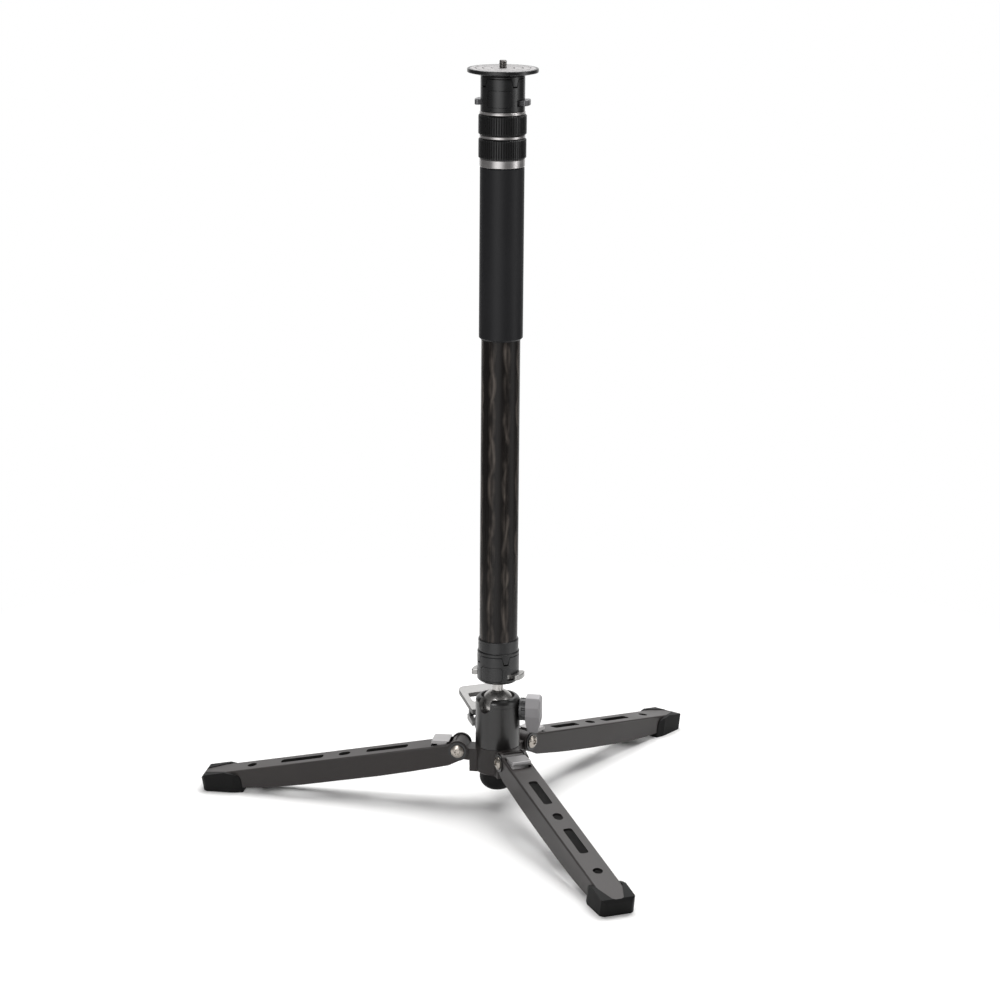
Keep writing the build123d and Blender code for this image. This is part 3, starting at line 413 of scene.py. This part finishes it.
# Hinge screws
# Button-head steel screws with a six-lobed recess, over a black washer at each side of a leg.
# One head is modelled, and a node tree sets a pair of them at the ends of each hinge pin.
HEAD_R = 5.6 * MM
HEAD_FOOT = 12.5 * MM
HEAD_FOOT_CHAMFER = 0.15 * MM
HEAD_TOP = 15.1 * MM
HEAD_RIM = 1.0 * MM
HEAD_RIM_SHARE = 0.8
HEAD_FOOT_SHARE = 0.94
DOME_SHARES = (0.985, 0.95, 0.88, 0.78, 0.66, 0.55)
DOME_POWER = 2.4
RECESS_R = 2.15 * MM
RECESS_LOBES = 6
RECESS_LOBE = 0.42 * MM
RECESS_DEPTH = 1.3 * MM
RECESS_LIP = 0.14 * MM
RECESS_LIP_DROP = 0.02 * MM
RECESS_LIP_DEPTH = 0.16 * MM
RECESS_FLOOR_SHARE = 0.6
RECESS_FLOOR_LOBE_SHARE = 0.4
RECESS_FLOOR_DROP = 0.3 * MM
HEAD_STEPS = 96
HEAD_SHARP = 40
RECESS_FIRST_TURN = 0.35
RECESS_NEXT_TURN = 0.6
screw_steel = blasted("screw_steel", colour(150, 144, 137), colour(186, 179, 171),
                      metal=0.9, specular=0.5, rough=0.26, rough_spread=0.05)
black_steel = blasted("black_steel", colour(16, 16, 17), colour(26, 26, 27),
                      metal=0.0, specular=0.6, rough=0.3, rough_spread=0.05)


def lathe(shape, rings, steps):
    """Rings of (radius, lobe, height), joined in order; both ends are closed by a fan."""
    rows = []
    for radius, lobe, height in rings:
        row = []
        for turn in (math.tau * n / steps for n in range(steps)):
            reach = radius + lobe * math.cos(RECESS_LOBES * turn)
            row.append(shape.verts.new((reach * math.cos(turn), reach * math.sin(turn), height)))
        rows.append(row)
    for low, high in zip(rows, rows[1:]):
        for n in range(steps):
            after = (n + 1) % steps
            shape.faces.new((low[n], low[after], high[after], high[n]))
    for row, height, flip in ((rows[0], rings[0][2], True), (rows[-1], rings[-1][2], False)):
        middle = shape.verts.new((0, 0, height))
        for n in range(steps):
            edge = (row[(n + 1) % steps], row[n]) if flip else (row[n], row[(n + 1) % steps])
            shape.faces.new((*edge, middle))


def dome_height(radius):
    """The head's crown: an arc that falls to its rim."""
    return HEAD_TOP - (HEAD_TOP - HEAD_FOOT - HEAD_RIM) * (radius / HEAD_R) ** DOME_POWER


recess_edge = dome_height(RECESS_R)
recess_floor = HEAD_TOP - RECESS_DEPTH
head_rings = [
    (HEAD_R * HEAD_FOOT_SHARE, 0, HEAD_FOOT),
    (HEAD_R, 0, HEAD_FOOT + HEAD_FOOT_CHAMFER),
    (HEAD_R, 0, HEAD_FOOT + HEAD_RIM * HEAD_RIM_SHARE),
    *[(HEAD_R * share, 0, dome_height(HEAD_R * share)) for share in DOME_SHARES],
    (RECESS_R + RECESS_LIP, RECESS_LOBE, recess_edge - RECESS_LIP_DROP),
    (RECESS_R, RECESS_LOBE, recess_edge - RECESS_LIP_DEPTH),
    (RECESS_R, RECESS_LOBE, recess_floor),
    (RECESS_R * RECESS_FLOOR_SHARE, RECESS_LOBE * RECESS_FLOOR_LOBE_SHARE, recess_floor - RECESS_FLOOR_DROP),
]
head_shape = bmesh.new()
lathe(head_shape, head_rings, HEAD_STEPS)
bmesh.ops.recalc_face_normals(head_shape, faces=head_shape.faces)
head_mesh = bpy.data.meshes.new("screw_head")
head_shape.to_mesh(head_mesh)
head_shape.free()
head_mesh.materials.append(screw_steel)
for polygon in head_mesh.polygons:
    polygon.use_smooth = True
head_mesh.set_sharp_from_angle(angle=math.radians(HEAD_SHARP))
head_source = bpy.data.objects.new("screw_head", head_mesh)

pair_tree = bpy.data.node_groups.new("screw_pair", "GeometryNodeTree")
pair_socket = {}
for label, kind in (("Head", "NodeSocketObject"), ("Turn round the column", "NodeSocketFloat"),
                    ("Hinge out", "NodeSocketFloat"), ("Hinge up", "NodeSocketFloat"),
                    ("Recess turn", "NodeSocketFloat"), ("Steel", "NodeSocketMaterial")):
    made = pair_tree.interface.new_socket(name=label, in_out="INPUT", socket_type=kind)
    pair_socket[label] = made.identifier
pair_tree.interface.new_socket(name="Geometry", in_out="OUTPUT", socket_type="NodeSocketGeometry")
pair_in = node(pair_tree, "NodeGroupInput")
pair_out = node(pair_tree, "NodeGroupOutput")
ends = node(pair_tree, "GeometryNodeMeshLine", in_Count=2, in_Offset=(0, 0, 0))
which = node(pair_tree, "GeometryNodeInputIndex")
lie = socket_math(pair_tree, "MULTIPLY_ADD", which.outputs[0], math.pi, -math.pi / 2)
tilt = node(pair_tree, "ShaderNodeCombineXYZ")
pair_tree.links.new(lie, tilt.inputs["X"])
recess = node(pair_tree, "ShaderNodeCombineXYZ")
pair_tree.links.new(pair_in.outputs["Recess turn"], recess.inputs["Z"])
heads = node(pair_tree, "GeometryNodeInstanceOnPoints")
head_info = node(pair_tree, "GeometryNodeObjectInfo")
pair_tree.links.new(pair_in.outputs["Head"], head_info.inputs["Object"])
pair_tree.links.new(ends.outputs["Mesh"], heads.inputs["Points"])
pair_tree.links.new(head_info.outputs["Geometry"], heads.inputs["Instance"])
pair_tree.links.new(tilt.outputs[0], heads.inputs["Rotation"])
spin = node(pair_tree, "GeometryNodeRotateInstances", in_Local_Space=True)
pair_tree.links.new(heads.outputs["Instances"], spin.inputs["Instances"])
pair_tree.links.new(recess.outputs[0], spin.inputs["Rotation"])
out_place = node(pair_tree, "ShaderNodeCombineXYZ")
pair_tree.links.new(pair_in.outputs["Hinge out"], out_place.inputs["X"])
pair_tree.links.new(pair_in.outputs["Hinge up"], out_place.inputs["Z"])
outward = node(pair_tree, "GeometryNodeTransform")
pair_tree.links.new(spin.outputs["Instances"], outward.inputs["Geometry"])
pair_tree.links.new(out_place.outputs[0], outward.inputs["Translation"])
about = node(pair_tree, "ShaderNodeCombineXYZ")
pair_tree.links.new(pair_in.outputs["Turn round the column"], about.inputs["Z"])
turned = node(pair_tree, "GeometryNodeTransform")
pair_tree.links.new(outward.outputs["Geometry"], turned.inputs["Geometry"])
pair_tree.links.new(about.outputs[0], turned.inputs["Rotation"])
real = node(pair_tree, "GeometryNodeRealizeInstances")
pair_tree.links.new(turned.outputs["Geometry"], real.inputs["Geometry"])
steel_set = node(pair_tree, "GeometryNodeSetMaterial")
pair_tree.links.new(real.outputs["Geometry"], steel_set.inputs["Geometry"])
pair_tree.links.new(pair_in.outputs["Steel"], steel_set.inputs["Material"])
pair_tree.links.new(steel_set.outputs["Geometry"], pair_out.inputs["Geometry"])

for index, side in enumerate(SIDES):
    pair_name = f"hinge_screw_heads_{side}"
    pair = bpy.data.objects.new(pair_name, bpy.data.meshes.new(pair_name + "_empty"))
    scene.collection.objects.link(pair)
    placing = pair.modifiers.new("nodes", "NODES")
    placing.node_group = pair_tree
    for label, value in (("Head", head_source), ("Turn round the column", math.radians(LEG_TURNS[side])),
                         ("Hinge out", HINGE_OUT), ("Hinge up", HINGE_UP),
                         ("Recess turn", RECESS_FIRST_TURN + RECESS_NEXT_TURN * index),
                         ("Steel", screw_steel)):
        placing[pair_socket[label]] = value
    settled(pair, pair_name)
    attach(pair, f"leg_{side}")
    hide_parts(f"hinge_screws_{side}")
dress(screw_steel, "hub_bolt", "plate_screws")
dress(black_steel, *[f"hinge_washers_{side}" for side in SIDES])

# Ball joint
# A turned black housing with a drop notch, its top rims rounded over, holds the ball.
# The ball and its neck are hard-chromed steel, polished but not to a mirror, in a nylon seat.
HOUSING_EDGE = 0.4 * MM
HOUSING_RIMS = ((19 * MM, 96.0 * MM, 1.3 * MM), (16.4 * MM, 98.6 * MM, 1.1 * MM))
chrome = blasted("ball_chrome", colour(182, 180, 178), colour(204, 201, 198),
                 metal=0.9, specular=0.5, rough=0.27, rough_spread=0.03,
                 grain=4000.0, grain_depth=0.000002)
housing_black = blasted("housing_black", colour(30, 29, 29), colour(38, 37, 36),
                        metal=0.0, specular=0.6, rough=0.3, rough_spread=0.04)
nylon = blasted("nylon", colour(196, 194, 188), colour(212, 210, 204),
                metal=0.0, specular=0.4, rough=0.45, rough_spread=0.05)
softened("ball_housing", "base", housing_black, HOUSING_EDGE, rims=HOUSING_RIMS)
dress(chrome, "ball_stem", "seat_disc_springs")
dress(nylon, "ball_seat", "lock_pad", "upper_collet", "lower_collet", "inner_tube_guide", "middle_tube_guide")

# Lock knob
# A mid-grey moulded lever on a fluted metal boss, screwed into the side of the ball housing.
KNOB_EDGE = 1.2 * MM
BOSS_EDGE = 0.2 * MM
knob_grey = blasted("knob_grey", colour(160, 158, 160), colour(176, 174, 176),
                    metal=0.0, specular=0.35, rough=0.42, rough_spread=0.05)
boss_grey = blasted("boss_grey", colour(62, 62, 63), colour(78, 78, 79),
                    metal=0.3, specular=0.5, rough=0.36, rough_spread=0.05)
softened("lock_knob", "lock", knob_grey, KNOB_EDGE, steps=4)
softened("lock_stud", "lock", boss_grey, BOSS_EDGE)

# Foot pedal
# A satin aluminium plate on a black steel yoke, carried by two cast arms.
PEDAL_PLATE_EDGE = 0.5 * MM
PEDAL_FRAME_EDGE = 0.4 * MM
pedal_silver = blasted("pedal_silver", colour(132, 131, 130), colour(152, 151, 150),
                       metal=0.6, specular=0.5, rough=0.5, rough_spread=0.05)
arm_silver = blasted("arm_silver", colour(150, 149, 148), colour(170, 169, 168),
                     metal=0.35, specular=0.5, rough=0.34, rough_spread=0.05)
softened("pedal_plate", "pedal", pedal_silver, PEDAL_PLATE_EDGE)
softened("pedal_arms", "pedal", arm_silver, PEDAL_FRAME_EDGE)
softened("pedal_yoke", "pedal", black_steel, PEDAL_FRAME_EDGE)
dress(arm_silver, "pedal_pin")

# Couplings
# Turned black cups under toothed crowns, with a flush cover panel and a ring with two thumb paddles.
# The base ring is bright; the top ring is a darker grey.
CUP_EDGE = 0.25 * MM
PADDLE_EDGE = 0.3 * MM
TURNING_MARKS = (1, 1, 6)
turned_black = blasted("turned_black", colour(28, 28, 29), colour(38, 38, 39),
                       metal=0.0, specular=0.55, rough=0.29, rough_spread=0.04,
                       stretch=TURNING_MARKS)
paddle_silver = blasted("paddle_silver", colour(150, 149, 147), colour(178, 177, 175),
                        metal=0.9, specular=0.5, rough=0.32, rough_spread=0.05)
paddle_grey = blasted("paddle_grey", colour(104, 104, 106), colour(124, 124, 126),
                      metal=0.4, specular=0.5, rough=0.34, rough_spread=0.05)
for name, body in (("top_coupling_housing", "inner_section"), ("top_cover_panel", "inner_section"),
                   ("base_coupling_housing", "socket"), ("base_cover_panel", "socket"),
                   ("column_crown", "column"), ("plate_crown", "plate")):
    softened(name, body, turned_black, CUP_EDGE)
softened("base_release_ring", "base_release", paddle_silver, PADDLE_EDGE)
softened("top_release_ring", "top_release", paddle_grey, PADDLE_EDGE)

# Carbon tubes
# Roll-wrapped carbon under clear lacquer: steep crossed tows show as chains of long narrow lozenges, their
# lighter colour a painted sheen of the weave.
# Each chain is a pair of waves that cross; one tow lies over the other, and both fade in patches.
CHAINS = 8
CHAIN_TURN = 61.9
CHAIN_PITCH = 27 * MM
CHAIN_SWAY = 0.15
CHAIN_WIDTH = 0.19
CHAIN_WANDER = 5.0
CHAIN_UNDER = 0.6
WANDER_SCALE = 42.0
WANDER_STRETCH = (1, 1, 0.5)
FIBRE_SCALE = 900.0
FIBRE_STRETCH = (1, 1, 0.03)
FIBRE_FADE = (0.6, 1.1)
FIBRE_STRENGTH = 0.15
FIBRE_DEPTH = 0.01 * MM
PATCH_SCALE = 120.0
PATCH_STRETCH = (1, 1, 0.4)
PATCH_FADE = (0.1, 1.1)
PATCH_NOISE = (0.38, 0.62)
LACQUER_ROUGH = (0.24, 0.34)
LACQUER_SPECULAR = 0.22
TOW_DARK = colour(31, 28, 27)
TOW_PAINTED_SHEEN = colour(110, 102, 96)
carbon, carbon_tree, carbon_shader = shaded("carbon_tube", metal=0.0, specular=LACQUER_SPECULAR)
carbon_xyz = node(carbon_tree, "ShaderNodeSeparateXYZ")
carbon_tree.links.new(object_place(carbon_tree), carbon_xyz.inputs[0])
carbon_angle = socket_math(carbon_tree, "ARCTAN2", carbon_xyz.outputs["Y"], carbon_xyz.outputs["X"])
chain_at = socket_math(carbon_tree, "MULTIPLY_ADD", carbon_angle, CHAINS / math.tau,
                       CHAIN_TURN * CHAINS / 360 + 0.5)
chain_at = socket_math(carbon_tree, "SUBTRACT", socket_math(carbon_tree, "FRACT", chain_at), 0.5)
wander = cloud(carbon_tree, object_place(carbon_tree, WANDER_STRETCH), WANDER_SCALE, detail=1.0)
chain_phase = socket_math(carbon_tree, "MULTIPLY_ADD", carbon_xyz.outputs["Z"], math.pi / CHAIN_PITCH,
                          socket_math(carbon_tree, "MULTIPLY", wander, CHAIN_WANDER))
chain_sway = socket_math(carbon_tree, "MULTIPLY", socket_math(carbon_tree, "SINE", chain_phase), CHAIN_SWAY)
tow_over = socket_math(carbon_tree, "ABSOLUTE", socket_math(carbon_tree, "SUBTRACT", chain_at, chain_sway))
tow_under = socket_math(carbon_tree, "ABSOLUTE", socket_math(carbon_tree, "ADD", chain_at, chain_sway))
tow_over = ranged(carbon_tree, tow_over, 1.0, 0.0, 0.0, CHAIN_WIDTH)
tow_under = ranged(carbon_tree, tow_under, CHAIN_UNDER, 0.0, 0.0, CHAIN_WIDTH)
tow_painted_sheen = socket_math(carbon_tree, "MAXIMUM", tow_over, tow_under)
fibres = cloud(carbon_tree, object_place(carbon_tree, FIBRE_STRETCH), FIBRE_SCALE)
patches = cloud(carbon_tree, object_place(carbon_tree, PATCH_STRETCH), PATCH_SCALE)
tow_painted_sheen = socket_math(carbon_tree, "MULTIPLY", tow_painted_sheen, ranged(carbon_tree, patches, *PATCH_FADE, *PATCH_NOISE))
fibre_fade = ranged(carbon_tree, fibres, *FIBRE_FADE, NOISE_LOW, NOISE_HIGH)
tow_painted_sheen = socket_math(carbon_tree, "MULTIPLY", tow_painted_sheen, fibre_fade)
# The crossing pattern is the weave's own; the tows' lighter colour is painted sheen, laid all round the tube.
carbon_tree.links.new(between(carbon_tree, tow_painted_sheen, TOW_DARK, TOW_PAINTED_SHEEN), carbon_shader.inputs["Base Color"])
lacquer_rough = ranged(carbon_tree, fibres, *LACQUER_ROUGH, NOISE_LOW, NOISE_HIGH)
carbon_tree.links.new(lacquer_rough, carbon_shader.inputs["Roughness"])
bump(carbon_tree, carbon_shader, fibres, FIBRE_STRENGTH, FIBRE_DEPTH)
dress(carbon, "outer_tube", "middle_tube", "inner_tube")

# Grip sleeve
# A long sleeve of smooth dense rubber, dusty black, drawn over the tube.
grip_rubber = blasted("grip_rubber", colour(36, 36, 38), colour(46, 46, 48),
                      metal=0.0, specular=0.22, rough=0.46, rough_spread=0.04,
                      grain=3000.0, grain_depth=0.00002, patch=18.0)
dress(grip_rubber, "grip_sleeve")

# Twist collars and their rings
# Ribbed rubber skins over threaded black cores; painted shade darkens them toward black in their grooves.
# The rings at the ends of the tubes are brushed aluminium.
COLLAR_RIBS = 60
GROOVE_FROM = -0.6
GROOVE_TO = 0.7
GROOVE_PAINTED_SHADE = colour(4, 4, 4)
RIB_ROUGH = 0.3
GROOVE_ROUGH = 0.9
BRUSHING = (1, 1, 14)
collar_rubber = blasted("collar_rubber", colour(22, 22, 23), colour(31, 31, 32),
                        metal=0.0, specular=0.4, rough=0.34, rough_spread=0.05,
                        grain=2200.0, grain_depth=0.00003)
ring_silver = blasted("ring_silver", colour(184, 181, 180), colour(208, 205, 204),
                      metal=0.8, specular=0.5, rough=0.3, rough_spread=0.04,
                      stretch=BRUSHING)
rib_tree = collar_rubber.node_tree
rib_shader = next(made for made in rib_tree.nodes if made.bl_idname == "ShaderNodeBsdfPrincipled")
rib_base = rib_shader.inputs["Base Color"].links[0].from_socket
rib_parts = node(rib_tree, "ShaderNodeSeparateXYZ")
rib_tree.links.new(object_place(rib_tree), rib_parts.inputs[0])
rib_turn = socket_math(rib_tree, "ARCTAN2", rib_parts.outputs["Y"], rib_parts.outputs["X"])
rib_wave = socket_math(rib_tree, "COSINE", socket_math(rib_tree, "MULTIPLY", rib_turn, COLLAR_RIBS))
# Painted shade: the rubber's colour falls toward black in each groove between the ribs.
groove_painted_shade = ranged(rib_tree, rib_wave, 0.0, 1.0, GROOVE_FROM, GROOVE_TO)
rib_tree.links.new(between(rib_tree, groove_painted_shade, rib_base, GROOVE_PAINTED_SHADE), rib_shader.inputs["Base Color"])
rib_rough = ranged(rib_tree, rib_wave, RIB_ROUGH, GROOVE_ROUGH, GROOVE_FROM, GROOVE_TO)
rib_tree.links.new(rib_rough, rib_shader.inputs["Roughness"])
dress(collar_rubber, "upper_collar_rubber", "lower_collar_rubber")
dress(turned_black, "upper_collar_nut", "lower_collar_nut")
dress(ring_silver, "top_end_ring", "middle_tube_fitting", "outer_tube_fitting")

# Camera plate
# A black turned plate with a grey face pad, grooved so that a camera does not slip.
PLATE_EDGE = 0.35 * MM
pad_grey = blasted("pad_grey", colour(140, 138, 138), colour(160, 158, 158),
                   metal=0.1, specular=0.4, rough=0.5, rough_spread=0.05)
softened("camera_plate", "plate", turned_black, PLATE_EDGE)
dress(pad_grey, "plate_pad")

# Camera screw
# A captive quarter-inch screw of bright steel, with twenty threads to the inch above the plate.
# Its slotted head below is the CAD solid's; only the plain shank gives way to the thread.
THREAD_PITCH = 1.27 * MM
THREAD_CREST = 3.175 * MM
THREAD_ROOT = 2.5 * MM
THREAD_FLAT = 1.7
THREAD_LOW = 630.6 * MM
THREAD_TOP = 639.2 * MM
THREAD_FADE = 0.7 * MM
THREAD_STEPS = 64
THREAD_ROWS = 96
THREAD_SHARP = 38
screw_bright = blasted("screw_bright", colour(104, 101, 99), colour(132, 128, 126),
                       metal=0.95, specular=0.5, rough=0.2, rough_spread=0.05)
thread_shape = bmesh.new()
thread_rows = []
for row in range(THREAD_ROWS + 1):
    height = THREAD_LOW + (THREAD_TOP - THREAD_LOW) * row / THREAD_ROWS
    edge = min(height - THREAD_LOW, THREAD_TOP - height, THREAD_FADE) / THREAD_FADE
    points = []
    for step in range(THREAD_STEPS):
        turn = math.tau * step / THREAD_STEPS
        along = (height / THREAD_PITCH - step / THREAD_STEPS) % 1.0
        flank = min(1.0, THREAD_FLAT * (1 - abs(2 * along - 1)))
        radius = THREAD_ROOT + (THREAD_CREST - THREAD_ROOT) * flank * edge
        points.append(thread_shape.verts.new((radius * math.cos(turn), radius * math.sin(turn), height)))
    thread_rows.append(points)
for low, high in zip(thread_rows, thread_rows[1:]):
    for step in range(THREAD_STEPS):
        after = (step + 1) % THREAD_STEPS
        thread_shape.faces.new((low[step], low[after], high[after], high[step]))
thread_shape.faces.new(thread_rows[-1])
thread_shape.faces.new(list(reversed(thread_rows[0])))
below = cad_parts["camera_screw"].data.copy()
below_shape = bmesh.new()
below_shape.from_mesh(below)
bmesh.ops.remove_doubles(below_shape, verts=below_shape.verts, dist=MERGE_REACH)
bmesh.ops.bisect_plane(below_shape, geom=[*below_shape.verts, *below_shape.edges, *below_shape.faces],
                       plane_co=(0, 0, THREAD_LOW + THREAD_PITCH), plane_no=(0, 0, 1), clear_outer=True)
bmesh.ops.holes_fill(below_shape, edges=below_shape.edges)
below_shape.to_mesh(below)
below_shape.free()
thread_shape.from_mesh(below)
thread_mesh = bpy.data.meshes.new("camera_screw_thread")
thread_shape.to_mesh(thread_mesh)
thread_shape.free()
thread_mesh.materials.append(screw_bright)
for polygon in thread_mesh.polygons:
    polygon.use_smooth = True
    polygon.material_index = 0
thread_mesh.set_sharp_from_angle(angle=math.radians(THREAD_SHARP))
thread = bpy.data.objects.new("camera_screw_thread", thread_mesh)
scene.collection.objects.link(thread)
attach(thread, "screw")
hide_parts("camera_screw")
